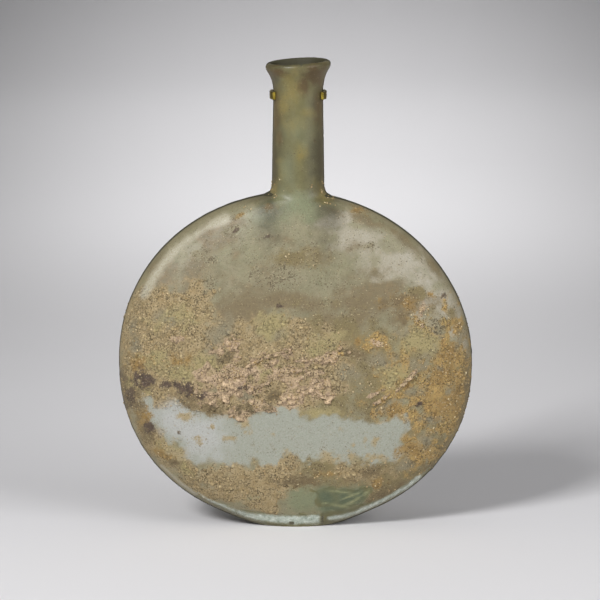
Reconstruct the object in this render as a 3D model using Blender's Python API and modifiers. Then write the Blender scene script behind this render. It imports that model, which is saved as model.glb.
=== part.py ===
"""Glass lentoid bottle, blown and flattened, with the brass mount that steadies it.

The bottle stands on the small flat of its base. A brass clip round the back of the
neck, a bent brass rod and a round foot stand behind it. Metres, +Z up, -Y is the front.
The origin is the centre of the bottle's base, on the surface that it stands on.
"""

import math

import bmesh
import bpy

# Bottle body, seen from the front
BODY_WIDTH = 0.1912
BELLY_HEIGHT = 0.0897          # height of the widest level
SHOULDER_RISE = 0.0924         # from the widest level to where the body's arc would close
HEEL_ANGLE = math.radians(62)  # below the widest level, the body's arc ends here
BASE_WIDTH = 0.040
BELLY_EXPONENT = 2.12          # of the arc below the widest level, 2 is an ellipse
LEFT_SHOULDER = 2.06           # of the arcs above it, fuller on the left
RIGHT_SHOULDER = 1.96

# Bottle body, front to back
BODY_DEPTH = 0.048
BASE_DEPTH = 0.020
LENS_EXPONENT = 2.7            # 2 is an ellipse, more is flatter faces and a rounder edge
BLEND_EXPONENT = 4.0           # how softly the lens runs into the neck and the base

# Neck and mouth
NECK_OFFSET = 0.0014           # the neck stands a little right of the body's middle
NECK_ROOT_DIAMETER = 0.0282
NECK_THROAT_DIAMETER = 0.0268
ROOT_REACH = 0.0050            # how far out from the neck its root's curve begins
ROOT_RISE = 0.0062             # and how far up the neck it ends
NECK_LENGTH = 0.0704           # from where the body's arc would close to the middle of the lip
HEIGHT = BELLY_HEIGHT + SHOULDER_RISE + NECK_LENGTH
MOUTH_DIAMETER = 0.0350
FLARE_HEIGHT = 0.0146
FLARE_THROAT_PULL = 0.72       # how far up its height the flare keeps to the neck
FLARE_MOUTH_PULL = 0.17        # and how far down it keeps to the mouth
LIP_HEIGHT = 0.0022            # the upright rim of the lip, above the flare
LIP_TUCK = 0.0010              # how far the lip's top turns in from its widest part
LIP_TILT = math.radians(3.2)   # the mouth leans, its left side lower

# Wall of the glass
BODY_WALL = 0.0022
NECK_WALL = 0.0027
LIP_WALL = 0.0034
BASE_WALL = 0.0030
LIP_ROUNDING = 0.0013
LIP_CORNER = math.radians(55)  # only corners sharper than this are rounded

# Mount
CLIP_DROP = 0.0175             # below the middle of the lip
CLIP_HEIGHT = 0.0040
CLIP_THICKNESS = 0.0016
CLIP_GAP = 0.0003              # between the brass and the glass, and at each soldered joint
CLIP_REACH = math.radians(28)  # how far the tips reach round to the front
ROD_DIAMETER = 0.0040
ROD_CLEARANCE = 0.0020         # behind the body's back
ROD_ABOVE_CLIP = 0.0015
ROD_BEND_DROP = 0.0160         # from the clip down to the top of the rod's bend
ROD_BEND_LENGTH = 0.0500
FOOT_DIAMETER = 0.0600
FOOT_THICKNESS = 0.0050
FOOT_GAP = 0.0015              # between the foot and the back of the bottle's heel
FOOT_ROUNDING = 0.0008
SEAT_FLOOR = 0.0015            # metal left under the rod's seat in the foot

# Mesh divisions
AROUND = 48
HEEL_STEPS = 3
BELLY_STEPS = 9
SHOULDER_STEPS = 12
ROOT_STEPS = 4
NECK_STEPS = 4
FLARE_STEPS = 6
CLIP_STEPS = 20
ROD_BEND_STEPS = 8

GLASS = ((0.36, 0.37, 0.25), 0.42, 0.0)
BRASS = ((0.60, 0.43, 0.16), 0.35, 1.0)


def clear_scene():
    for old in list(bpy.data.objects):
        bpy.data.objects.remove(old, do_unlink=True)


def new_collection(name):
    made = bpy.data.collections.new(name)
    bpy.context.scene.collection.children.link(made)
    return made


def new_material(name, finish):
    colour, roughness, metallic = finish
    made = bpy.data.materials.new(name)
    made.use_nodes = True
    shader = made.node_tree.nodes["Principled BSDF"]
    shader.inputs["Base Color"].default_value = (*colour, 1.0)
    shader.inputs["Roughness"].default_value = roughness
    shader.inputs["Metallic"].default_value = metallic
    made.diffuse_color = (*colour, 1.0)
    return made


def new_object(name, mesh, collection, material):
    made = bpy.data.objects.new(name, mesh)
    collection.objects.link(made)
    if material:
        mesh.materials.append(material)
    return made


def bezier(points, t):
    """Point at t on the Bezier curve of any number of (x, z) control points."""
    while len(points) > 1:
        points = [
            (a[0] + (b[0] - a[0]) * t, a[1] + (b[1] - a[1]) * t)
            for a, b in zip(points, points[1:])
        ]
    return points[0]


def smooth(t):
    t = min(1.0, max(0.0, t))
    return t * t * (3.0 - 2.0 * t)


def flare_start():
    return HEIGHT - LIP_HEIGHT - FLARE_HEIGHT


def body_arc(angle, exponent, rise):
    """Point on one side of the body's outline, at an angle from its widest level."""
    x = BODY_WIDTH / 2 * math.cos(angle) ** (2 / exponent)
    z = rise * abs(math.sin(angle)) ** (2 / exponent)
    return x, BELLY_HEIGHT + math.copysign(z, angle)


def tangent_meets(arc, angle, x=None, z=None):
    """Where the arc's tangent at an angle crosses the line at that x, or at that z."""
    small = 1e-4
    x0, z0 = arc(angle - small)
    x1, z1 = arc(angle + small)
    slope = (z1 - z0) / (x1 - x0)
    at_x, at_z = arc(angle)
    if x is not None:
        return x, at_z + slope * (x - at_x)
    return at_x + (z - at_z) / slope, z


def side_outline(side):
    """Outline of the bottle on its right (side 1) or left (side -1), base to lip.

    Distances are out from the body's middle. Both sides have as many points."""
    exponent = RIGHT_SHOULDER if side > 0 else LEFT_SHOULDER
    offset = side * NECK_OFFSET
    root = NECK_ROOT_DIAMETER / 2 + offset
    throat = NECK_THROAT_DIAMETER / 2 + offset
    mouth = MOUTH_DIAMETER / 2 + offset

    def belly(angle):
        return body_arc(angle, BELLY_EXPONENT, BELLY_HEIGHT)

    def shoulder(angle):
        return body_arc(angle, exponent, SHOULDER_RISE)

    points = []
    heel_top = belly(-HEEL_ANGLE)
    heel = [(BASE_WIDTH / 2, 0.0), tangent_meets(belly, -HEEL_ANGLE, z=0.0), heel_top]
    points += [bezier(heel, i / HEEL_STEPS) for i in range(HEEL_STEPS)]
    points += [
        belly(-HEEL_ANGLE * (1 - i / BELLY_STEPS)) for i in range(BELLY_STEPS)
    ]
    share = (root + ROOT_REACH) / (BODY_WIDTH / 2)
    top_angle = math.acos(share ** (exponent / 2))
    points += [
        shoulder(top_angle * i / SHOULDER_STEPS) for i in range(SHOULDER_STEPS)
    ]
    corner = tangent_meets(shoulder, top_angle, x=root)
    root_top = (root, corner[1] + ROOT_RISE)
    curve = [shoulder(top_angle), corner, root_top]
    points += [bezier(curve, i / ROOT_STEPS) for i in range(ROOT_STEPS)]
    neck = [root_top, (throat, flare_start())]
    points += [bezier(neck, i / NECK_STEPS) for i in range(NECK_STEPS)]
    flare = [
        (throat, flare_start()),
        (throat, flare_start() + FLARE_THROAT_PULL * FLARE_HEIGHT),
        (mouth, HEIGHT - LIP_HEIGHT - FLARE_MOUTH_PULL * FLARE_HEIGHT),
        (mouth, HEIGHT - LIP_HEIGHT),
    ]
    points += [bezier(flare, i / FLARE_STEPS) for i in range(FLARE_STEPS + 1)]
    points.append((mouth - LIP_TUCK, HEIGHT))
    return points


def half_depth(half_width, z):
    """Half of the bottle's depth, front to back, in the middle of its level z."""
    above = z > BELLY_HEIGHT
    rise = SHOULDER_RISE if above else BELLY_HEIGHT
    share = min(1.0, abs(z - BELLY_HEIGHT) / rise)
    lens = BODY_DEPTH / 2 * (1 - share**LENS_EXPONENT) ** (1 / LENS_EXPONENT)
    end = min(half_width, NECK_ROOT_DIAMETER / 2) if above else BASE_DEPTH / 2
    if z > flare_start():
        end = half_width
    blend = BLEND_EXPONENT
    return (lens**blend + (end * smooth(share)) ** blend) ** (1 / blend)


def squareness(z):
    """Exponent of the level's outline seen from above: 2 is round or oval."""
    share = (z - BELLY_HEIGHT) / SHOULDER_RISE
    return 2.0 + (LENS_EXPONENT - 2.0) * max(0.0, 1.0 - share * share)


def wall_at(z):
    """Thickness of the glass at a height."""
    low = smooth(z / (BELLY_HEIGHT / 2))
    neck = smooth((z - BELLY_HEIGHT - SHOULDER_RISE / 2) / (SHOULDER_RISE / 2))
    lip = smooth((z - flare_start()) / FLARE_HEIGHT)
    wall = BASE_WALL + (BODY_WALL - BASE_WALL) * low
    wall += (NECK_WALL - BODY_WALL) * neck
    return wall + (LIP_WALL - NECK_WALL) * lip


def level_ring(right, left):
    """Points round one level of the bottle, through its right and left outline."""
    middle = (right[0] - left[0]) / 2
    half_width = (right[0] + left[0]) / 2
    z = (right[1] + left[1]) / 2
    lean = (right[1] - left[1]) / 2
    lean += math.tan(LIP_TILT) * half_width * smooth((z - flare_start()) / FLARE_HEIGHT)
    depth = half_depth(half_width, z)
    power = 2 / squareness(z)
    ring = []
    for i in range(AROUND):
        angle = 2 * math.pi * i / AROUND
        c, s = math.cos(angle), math.sin(angle)
        across = math.copysign(abs(c) ** power, c)
        back = math.copysign(abs(s) ** power, s)
        ring.append((middle + half_width * across, depth * back, z + lean * across))
    return ring, wall_at(z)


def make_bottle(collection, material):
    """The outer skin as a loft of levels, given its wall inwards, open at the mouth."""
    shape = bmesh.new()
    walls = []
    rings = []
    for right, left in zip(side_outline(1), side_outline(-1)):
        ring, wall = level_ring(right, left)
        rings.append([shape.verts.new(p) for p in ring])
        walls += [wall] * AROUND
    for low, high in zip(rings, rings[1:]):
        for i in range(AROUND):
            j = (i + 1) % AROUND
            shape.faces.new((low[i], low[j], high[j], high[i]))
    shape.faces.new(list(reversed(rings[0])))
    mesh = bpy.data.meshes.new("bottle")
    shape.to_mesh(mesh)
    shape.free()
    bottle = new_object("bottle", mesh, collection, material)
    group = bottle.vertex_groups.new(name="wall")
    for i, wall in enumerate(walls):
        group.add([i], wall / LIP_WALL, "REPLACE")
    shell = bottle.modifiers.new("wall", "SOLIDIFY")
    shell.thickness = LIP_WALL
    shell.offset = -1.0
    shell.use_even_offset = True
    shell.vertex_group = "wall"
    rim = bottle.modifiers.new("lip", "BEVEL")
    rim.limit_method = "ANGLE"
    rim.angle_limit = LIP_CORNER
    rim.width = LIP_ROUNDING
    rim.segments = 2
    mesh.shade_smooth()
    return bottle


def clip_height():
    return HEIGHT - CLIP_DROP


def clip_inner_radius():
    """Half of the neck's width at the clip, with the gap."""
    rise = BELLY_HEIGHT + SHOULDER_RISE + ROOT_RISE
    share = (clip_height() - rise) / (flare_start() - rise)
    width = NECK_ROOT_DIAMETER + (NECK_THROAT_DIAMETER - NECK_ROOT_DIAMETER) * share
    return max(width, NECK_THROAT_DIAMETER) / 2 + CLIP_GAP


def make_neck_clip(collection, material):
    """A brass strip bent round the back of the neck, its tips just past the sides."""
    shape = bmesh.new()
    low = clip_height() - CLIP_HEIGHT / 2
    columns = []
    for i in range(CLIP_STEPS + 1):
        angle = -CLIP_REACH + (math.pi + 2 * CLIP_REACH) * i / CLIP_STEPS
        x = NECK_OFFSET + clip_inner_radius() * math.cos(angle)
        y = clip_inner_radius() * math.sin(angle)
        columns.append(
            (shape.verts.new((x, y, low)), shape.verts.new((x, y, low + CLIP_HEIGHT)))
        )
    for (a, b), (c, d) in zip(columns, columns[1:]):
        shape.faces.new((a, c, d, b))
    mesh = bpy.data.meshes.new("neck_clip")
    shape.to_mesh(mesh)
    shape.free()
    clip = new_object("neck_clip", mesh, collection, material)
    strip = clip.modifiers.new("strip", "SOLIDIFY")
    strip.thickness = CLIP_THICKNESS
    strip.offset = 1.0
    strip.use_even_offset = True
    return clip


def rod_back():
    """How far back the rod's middle stands, where it is upright over the foot."""
    return BODY_DEPTH / 2 + ROD_CLEARANCE + ROD_DIAMETER / 2


def make_stand_rod(collection, material):
    """The rod from its seat in the foot, bent in over the shoulder to the clip."""
    back = rod_back()
    front = clip_inner_radius() + CLIP_THICKNESS + CLIP_GAP + ROD_DIAMETER / 2
    top = clip_height() + CLIP_HEIGHT / 2 + ROD_ABOVE_CLIP
    bend_top = clip_height() - ROD_BEND_DROP
    bend_low = bend_top - ROD_BEND_LENGTH
    path = [(back, SEAT_FLOOR + CLIP_GAP)]
    for i in range(ROD_BEND_STEPS + 1):
        t = i / ROD_BEND_STEPS
        path.append((back + (front - back) * smooth(t), bend_low + ROD_BEND_LENGTH * t))
    path.append((front, top))
    curve = bpy.data.curves.new("stand_rod", "CURVE")
    curve.dimensions = "3D"
    curve.bevel_depth = ROD_DIAMETER / 2
    curve.bevel_resolution = 4
    curve.use_fill_caps = True
    line = curve.splines.new("POLY")
    line.points.add(len(path) - 1)
    for point, (y, z) in zip(line.points, path):
        point.co = (NECK_OFFSET, y, z, 1.0)
    return new_object("stand_rod", curve, collection, material)


def make_stand_foot(collection, cutters, material):
    """A round plate behind the bottle's base, with a blind seat for the rod."""
    heel_back = half_depth(BASE_WIDTH / 2, FOOT_THICKNESS)
    y = heel_back + FOOT_GAP + FOOT_DIAMETER / 2
    bpy.ops.mesh.primitive_cylinder_add(
        vertices=64,
        radius=FOOT_DIAMETER / 2,
        depth=FOOT_THICKNESS,
        location=(NECK_OFFSET, y, FOOT_THICKNESS / 2),
    )
    foot = bpy.context.object
    foot.name = foot.data.name = "stand_foot"
    foot.data.materials.append(material)
    bpy.ops.mesh.primitive_cylinder_add(
        vertices=24,
        radius=ROD_DIAMETER / 2 + CLIP_GAP,
        depth=2 * FOOT_THICKNESS,
        location=(NECK_OFFSET, rod_back(), SEAT_FLOOR + FOOT_THICKNESS),
    )
    seat = bpy.context.object
    seat.name = "rod_seat_cutter"
    seat.hide_render = True
    seat.display_type = "WIRE"
    for made, home in ((foot, collection), (seat, cutters)):
        for old in list(made.users_collection):
            old.objects.unlink(made)
        home.objects.link(made)
    edge = foot.modifiers.new("edge", "BEVEL")
    edge.limit_method = "ANGLE"
    edge.width = FOOT_ROUNDING
    edge.segments = 2
    cut = foot.modifiers.new("rod seat", "BOOLEAN")
    cut.operation = "DIFFERENCE"
    cut.solver = "EXACT"
    cut.object = seat
    return foot


def main():
    clear_scene()
    parts = new_collection("Lentoid bottle")
    cutters = new_collection("Cutters")
    glass = new_material("weathered glass", GLASS)
    brass = new_material("brass", BRASS)
    make_bottle(parts, glass)
    make_neck_clip(parts, brass)
    make_stand_rod(parts, brass)
    make_stand_foot(parts, cutters, brass)


main()
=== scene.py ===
import itertools
import math
from functools import partial

import bpy
import numpy as np
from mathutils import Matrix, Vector


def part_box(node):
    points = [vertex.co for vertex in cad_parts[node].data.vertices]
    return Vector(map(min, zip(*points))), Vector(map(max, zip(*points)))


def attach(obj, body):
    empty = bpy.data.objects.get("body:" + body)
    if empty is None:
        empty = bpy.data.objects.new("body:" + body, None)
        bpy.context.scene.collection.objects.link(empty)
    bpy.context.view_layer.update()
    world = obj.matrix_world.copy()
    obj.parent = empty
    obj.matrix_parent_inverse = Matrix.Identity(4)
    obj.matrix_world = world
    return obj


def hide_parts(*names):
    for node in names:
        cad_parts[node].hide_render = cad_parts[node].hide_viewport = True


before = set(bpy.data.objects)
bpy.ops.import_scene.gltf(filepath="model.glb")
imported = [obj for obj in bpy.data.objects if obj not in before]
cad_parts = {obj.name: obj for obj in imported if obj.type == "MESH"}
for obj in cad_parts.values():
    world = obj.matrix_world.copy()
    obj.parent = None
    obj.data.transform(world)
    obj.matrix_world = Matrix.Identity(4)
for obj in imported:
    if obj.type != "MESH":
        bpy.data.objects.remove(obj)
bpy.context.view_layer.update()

# Glass lentoid bottle: the looks around the fixed frame. Lengths in the dictionaries are in
# millimetres and the meshes are in metres. The front is -Y. A place on the front face is
# (x, z), and a place with a size is (x, z, half width, half height, turn in degrees if any).

mm = 0.001


def toLinear(hexColour):
    # sRGB hex to the linear values that shaders take
    parts = [int(hexColour[i:i + 2], 16) / 255 for i in (1, 3, 5)]
    parts = [c / 12.92 if c <= 0.04045 else ((c + 0.055) / 1.055) ** 2.4 for c in parts]
    return (*parts, 1.0)


def plug(node, inputs):
    # inputs by name or number: a value, a socket, or another node for its first live output
    links = node.id_data.links
    for key, value in inputs.items():
        if isinstance(value, bpy.types.Node):
            value = next(output for output in value.outputs if output.enabled)
        if isinstance(value, bpy.types.NodeSocket):
            links.new(value, node.inputs[key])
        else:
            node.inputs[key].default_value = value


def addNode(tree, kind, inputs=None, **settings):
    # one node with its settings and inputs. A kind without "Node" in it is a shader's
    node = tree.nodes.new(kind if "Node" in kind else "ShaderNode" + kind)
    for name, value in settings.items():
        setattr(node, name, value)
    plug(node, inputs or {})
    return node


def newMaterial(name):
    # a material, its shader, and addNode for its tree
    material = bpy.data.materials.new(name)
    material.use_nodes = True
    tree = material.node_tree
    return material, tree.nodes["Principled BSDF"], partial(addNode, tree)


def newObject(name, data):
    made = bpy.data.objects.new(name, data)
    bpy.context.scene.collection.objects.link(made)
    return made


def newMesh(name, vertices, faces, material):
    mesh = bpy.data.meshes.new(name)
    mesh.from_pydata([tuple(v) for v in vertices], [], faces)
    mesh.materials.append(material)
    mesh.shade_smooth()
    return newObject(name, mesh)


def newPiece(name, vertices, faces, material):
    piece = newMesh(name, vertices, faces, material)
    return piece


def addFields(piece, fields):
    for name, field in fields.items():
        layer = piece.data.attributes.new(name, "FLOAT", "POINT")
        layer.data.foreach_set("value", field.astype(np.float32))


def smoothStep(low, high, value):
    t = np.clip((value - low) / (high - low), 0.0, 1.0)
    return t * t * (3 - 2 * t)


def hashed(cell, seed):
    # one value from 0 to 1 for each whole-number place
    key = cell[:, 0] * 73856093 ^ cell[:, 1] * 19349663 ^ cell[:, 2] * 83492791
    key = (key + seed * 668265263) & 0xFFFFFFFF
    key = ((key ^ (key >> 15)) * 2246822519) & 0xFFFFFFFF
    key = ((key ^ (key >> 13)) * 3266489917) & 0xFFFFFFFF
    return (key ^ (key >> 16)) / 0xFFFFFFFF


def cloud(points, size, seed, octaves=3):
    # soft noise from 0 to 1 at points in mm, with lumps of about that size
    total, weight, amount = np.zeros(len(points)), 0.0, 1.0
    p = points / size
    for octave in range(octaves):
        cell = np.floor(p).astype(np.int64)
        part = p - cell
        part = part * part * (3 - 2 * part)
        for corner in itertools.product((0, 1), repeat=3):
            near = np.where(np.array(corner), part, 1 - part).prod(axis=1)
            total += amount * near * hashed(cell + np.array(corner), seed + octave)
        weight += amount
        amount *= 0.5
        p = p * 2.03 + 11.7
    return total / weight


def grains(points, size, seed, cover):
    # domes of packed grains of about that size and 0 between them, and a shade for each
    # grain. The cover is the share of the grains that lie at each point
    p = points / size
    cell = np.floor(p).astype(np.int64)
    height, shade = np.zeros(len(p)), np.full(len(p), 0.5)
    for step in itertools.product((-1, 0, 1), repeat=3):
        at = cell + np.array(step)
        own = [hashed(at, seed + n) for n in range(5)]
        away = ((p - at - 0.15 - 0.7 * np.stack(own[:3], axis=-1)) ** 2).sum(axis=1)
        dome = np.maximum(0, 1 - away / (0.50 + 0.35 * own[3]) ** 2) * (0.5 + 0.5 * own[3])
        dome = np.where(own[4] < cover, dome, 0)
        shade = np.where(dome > height, own[0], shade)
        height = np.maximum(height, dome)
    return height, shade


# The camera stands at the photograph's angle, a little above the bottle's middle
view = {"elevation": 10, "distance": 2200, "aim": (2.4, 0, 123.2), "lens": 244.4, "sensor": 36}


def makeCamera():
    tilt = math.radians(view["elevation"])
    back = Vector((0, -math.cos(tilt), math.sin(tilt)))
    camera = bpy.data.cameras.new("camera")
    camera.lens = view["lens"]
    camera.sensor_width = view["sensor"]
    camera.clip_end = 50
    made = newObject("camera", camera)
    made.location = (Vector(view["aim"]) + back * view["distance"]) * mm
    made.rotation_euler = (math.pi / 2 - tilt, 0, 0)
    bpy.context.scene.camera = made


# Pale studio cove: a round floor that curves up into a low wall on all sides. Its paper carries painted
# light and shade graded by the place in the view, from -1 to 1 across and up: full up to "low", painted
# darker up to
# "high" but never under "least", and a painted pool of light round "middle" as far as "reach"
cove = {
    "flat": 2000, "curve": 1400, "height": 2600, "around": 160, "turnSteps": 25, "floorSteps": 21,
    "colour": "#e4e3e5", "roughness": 0.9, "shine": 0.2,
    "low": -0.85, "high": 0.6, "least": 0.5, "middle": (0.075, 1), "reach": (1.5, 3), "nearest": 300,
}


def coveLightAndShade(points):
    # painted light and shade on the paper: the share of its colour at points in millimetres, by their
    # place in the view
    tilt = math.radians(view["elevation"])
    away = np.array([0, math.cos(tilt), -math.sin(tilt)])
    seen = points - np.array(view["aim"]) + away * view["distance"]
    half = np.maximum(seen @ away, cove["nearest"]) * view["sensor"] / 2 / view["lens"]
    across = (seen[:, 0] / half - cove["middle"][0]) / cove["reach"][0]
    height = seen @ np.array([0, math.sin(tilt), math.cos(tilt)]) / half
    up = (height - cove["middle"][1]) / cove["reach"][1]
    # a painted pool of light round the middle of the view, and painted shade growing darker upward
    paintedGlow = np.exp(-across ** 2 - up ** 2)
    paintedLighting = 1 - smoothStep(cove["low"], cove["high"], height) * (1 - paintedGlow)
    return np.maximum(paintedLighting, cove["least"])


def makeCove():
    material, shader, add = newMaterial("matt paper cove")  # pale and without shine, with painted light and shade graded over it
    paintedLighting = add("Attribute", attribute_name="paintedLighting").outputs["Fac"]
    graded = add("Mix", {0: paintedLighting, 6: (0, 0, 0, 1), 7: toLinear(cove["colour"])}, data_type="RGBA")
    plug(shader, {"Base Color": graded, "Roughness": cove["roughness"],
                  "Specular IOR Level": cove["shine"]})
    turns = np.linspace(0, math.pi / 2, cove["turnSteps"])
    out = cove["flat"] + cove["curve"] * np.sin(turns)
    up = cove["curve"] * (1 - np.cos(turns))
    floor = [(radius, 0) for radius in np.linspace(0, cove["flat"], cove["floorSteps"])[1:-1]]
    profile = [*floor, *zip(out, up), (out[-1], cove["height"])]
    around = cove["around"]
    vertices = [(0, 0, 0)]
    for radius, z in profile:
        for step in range(around):
            turn = 2 * math.pi * step / around
            vertices.append((radius * math.cos(turn) * mm, radius * math.sin(turn) * mm, z * mm))
    faces = [(0, 1 + step, 1 + (step + 1) % around) for step in range(around)]
    for ring in range(len(profile) - 1):
        first = 1 + ring * around
        for step in range(around):
            a, b = first + step, first + (step + 1) % around
            faces.append((a, a + around, b + around, b))
    made = newMesh("cove", vertices, faces, material)
    addFields(made, {"paintedLighting": coveLightAndShade(np.array(vertices) / mm)})


# Soft studio light: three soft boxes on the bottle, and two wide spots that brighten the
# floor close behind it and further back
lamps = {
    "key box": {"at": (-1140, -1570, 1510), "to": (0, 0, 120), "size": 600, "watts": 47},
    "right fill": {"at": (1700, -1300, 1000), "to": (0, 0, 120), "size": 1400, "watts": 26},
    "top box": {"at": (60, -100, 1800), "to": (60, -100, 0), "size": 900, "watts": 2},
    "near spot": {"at": (20, 560, 1600), "to": (20, 720, 0), "size": 150, "watts": 19, "cone": 46},
    "far spot": {"at": (20, 1300, 1900), "to": (20, 1560, 0), "size": 150, "watts": 92, "cone": 61},
}
roomLight = {"colour": "#ffffff", "strength": 0.17}


def makeLights():
    for name, lamp in lamps.items():
        light = bpy.data.lights.new(name, "SPOT" if "cone" in lamp else "AREA")
        if "cone" in lamp:
            light.spot_size = math.radians(lamp["cone"])
            light.spot_blend = 1
            light.shadow_soft_size = lamp["size"] * mm
        else:
            light.size = lamp["size"] * mm
        light.energy = lamp["watts"]
        made = newObject(name, light)
        place, aim = Vector(lamp["at"]), Vector(lamp["to"])
        made.location = place * mm
        made.rotation_euler = (aim - place).to_track_quat("-Z", "Y").to_euler()
    world = bpy.data.worlds.new("studio room")
    bpy.context.scene.world = world
    world.use_nodes = True
    air = world.node_tree.nodes["Background"]
    air.inputs["Color"].default_value = toLinear(roomLight["colour"])
    air.inputs["Strength"].default_value = roomLight["strength"]
    bpy.context.scene.view_settings.view_transform = "Standard"


# Blown glass body: the bottle's outline, depth and wall, as in the frame
bottleForm = {
    "bellyHeight": 89.7, "shoulderRise": 92.4, "heelAngle": 62, "baseWidth": 40, "baseDepth": 20,
    "bellyExponent": 2.12, "shoulderExponents": {1: 1.96, -1: 2.06}, "lensExponent": 2.7,
    "blendExponent": 4, "neckOffset": 1.4, "neckRoot": 28.2, "neckThroat": 26.8, "rootReach": 5,
    "rootRise": 6.2, "neckLength": 70.4, "mouth": 35, "flareHeight": 14.6, "flarePulls": (0.72, 0.17),
    "lipHeight": 2.2, "lipTilt": 3.2, "walls": {"body": 2.2, "neck": 2.7, "lip": 3.4, "base": 3},
    "levels": 246, "innerLevels": 30, "frontColumns": 236, "backColumns": 92,
}
boxLow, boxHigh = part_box("bottle")
bodyWidth = (boxHigh.x - boxLow.x) / mm
bodyDepth = (boxHigh.y - boxLow.y) / mm
lipLevel = bottleForm["bellyHeight"] + bottleForm["shoulderRise"] + bottleForm["neckLength"]
flareStart = lipLevel - bottleForm["lipHeight"] - bottleForm["flareHeight"]


def bezier(points, t):
    points = [np.array(p, float) for p in points]
    while len(points) > 1:
        points = [a + (b - a) * t[:, None] for a, b in zip(points, points[1:])]
    return points[0]


def bodyArc(angle, exponent, rise):
    # one side of the body's outline, at an angle from its widest level
    x = bodyWidth / 2 * np.cos(angle) ** (2 / exponent)
    z = rise * np.abs(np.sin(angle)) ** (2 / exponent)
    return np.stack([x, bottleForm["bellyHeight"] + np.copysign(z, angle)], axis=-1)


def tangentMeets(arc, angle, x=None, z=None):
    before, at, after = arc(angle - 1e-4), arc(angle), arc(angle + 1e-4)
    slope = (after[1] - before[1]) / (after[0] - before[0])
    if x is not None:
        return x, at[1] + slope * (x - at[0])
    return at[0] + (z - at[1]) / slope, z


def sideOutline(side):
    # fine outline of the right (1) or left (-1) side from the base to the lip's outer edge
    f = bottleForm
    exponent, offset = f["shoulderExponents"][side], side * f["neckOffset"]
    root, throat, mouth = (f[k] / 2 + offset for k in ("neckRoot", "neckThroat", "mouth"))
    belly = lambda a: bodyArc(a, f["bellyExponent"], f["bellyHeight"])
    shoulder = lambda a: bodyArc(a, exponent, f["shoulderRise"])
    heel = math.radians(f["heelAngle"])
    top = math.acos(((root + f["rootReach"]) / (bodyWidth / 2)) ** (exponent / 2))
    corner = tangentMeets(shoulder, top, x=root)
    rootTop = (root, corner[1] + f["rootRise"])
    throatPull, mouthPull = f["flarePulls"]
    lipFoot = lipLevel - f["lipHeight"]
    steps = lambda n: np.linspace(0, 1, n, endpoint=False)
    heelCurve = [(f["baseWidth"] / 2, 0), tangentMeets(belly, -heel, z=0), belly(-heel)]
    flare = [
        (throat, flareStart),
        (throat, flareStart + throatPull * f["flareHeight"]),
        (mouth, lipFoot - mouthPull * f["flareHeight"]),
        (mouth, lipFoot),
    ]
    return np.vstack([
        bezier(heelCurve, steps(30)),
        belly(-heel * (1 - steps(200))),
        shoulder(top * steps(260)),
        bezier([shoulder(top), corner, rootTop], steps(40)),
        bezier([rootTop, flare[0]], steps(60)),
        bezier(flare, np.linspace(0, 1, 60)),
    ])


def halfDepth(halfWidth, z):
    f = bottleForm
    above = z > f["bellyHeight"]
    rise = np.where(above, f["shoulderRise"], f["bellyHeight"])
    share = np.minimum(1.0, np.abs(z - f["bellyHeight"]) / rise)
    lens = bodyDepth / 2 * (1 - share ** f["lensExponent"]) ** (1 / f["lensExponent"])
    end = np.where(above, np.minimum(halfWidth, f["neckRoot"] / 2), f["baseDepth"] / 2)
    end = np.where(z > flareStart, halfWidth, end)
    blend = f["blendExponent"]
    return (lens ** blend + (end * smoothStep(0, 1, share)) ** blend) ** (1 / blend)


def wallAt(z):
    f, walls = bottleForm, bottleForm["walls"]
    low = smoothStep(0, f["bellyHeight"] / 2, z)
    neck = smoothStep(0.5, 1, (z - f["bellyHeight"]) / f["shoulderRise"])
    lip = smoothStep(0, f["flareHeight"], z - flareStart)
    wall = walls["base"] + (walls["body"] - walls["base"]) * low
    wall = wall + (walls["neck"] - walls["body"]) * neck
    return wall + (walls["lip"] - walls["neck"]) * lip


def levelRings(right, left, angles):
    # points round each level, through its right and left outline: (levels, columns, 3)
    f = bottleForm
    middle = (right[:, 0] - left[:, 0]) / 2
    halfWidth = (right[:, 0] + left[:, 0]) / 2
    z = (right[:, 1] + left[:, 1]) / 2
    lean = (right[:, 1] - left[:, 1]) / 2
    tilt = math.tan(math.radians(f["lipTilt"]))
    lean = lean + tilt * halfWidth * smoothStep(0, f["flareHeight"], z - flareStart)
    depth = halfDepth(halfWidth, z)
    share = (z - f["bellyHeight"]) / f["shoulderRise"]
    power = 2 / (2 + (f["lensExponent"] - 2) * np.maximum(0, 1 - share * share))
    c, s = np.cos(angles)[None], np.sin(angles)[None]
    across = np.copysign(np.abs(c) ** power[:, None], c)
    back = np.copysign(np.abs(s) ** power[:, None], s)
    x = middle[:, None] + halfWidth[:, None] * across
    return np.stack([x, depth[:, None] * back, z[:, None] + lean[:, None] * across], axis=-1)


def evenly(values, spacing, count):
    # rows of values at even steps of the running spacing
    run = np.concatenate([[0], np.cumsum(spacing)])
    at = np.linspace(0, run[-1], count)
    return np.stack([np.interp(at, run, v) for v in values.T], axis=-1)


def columnAngles():
    # angles round a level, evenly spaced along it and closer together on the front
    power = 2 / bottleForm["lensExponent"]
    found = []
    for start, count in ((-math.pi, "frontColumns"), (0.0, "backColumns")):
        a = start + np.linspace(0, math.pi, 4000)
        x = np.copysign(np.abs(np.cos(a)) ** power, np.cos(a)) * bodyWidth / 2
        y = np.abs(np.sin(a)) ** power * bodyDepth / 2
        step = np.hypot(np.diff(x), np.diff(y))
        found.append(evenly(a[:, None], step, bottleForm[count] + 1)[:-1, 0])
    return np.concatenate(found)


def gridNormals(rings):
    along = np.gradient(rings, axis=0)
    around = np.roll(rings, -1, axis=1) - np.roll(rings, 1, axis=1)
    normals = np.cross(around, along)
    return normals / np.maximum(np.linalg.norm(normals, axis=-1, keepdims=True), 1e-9)


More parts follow.
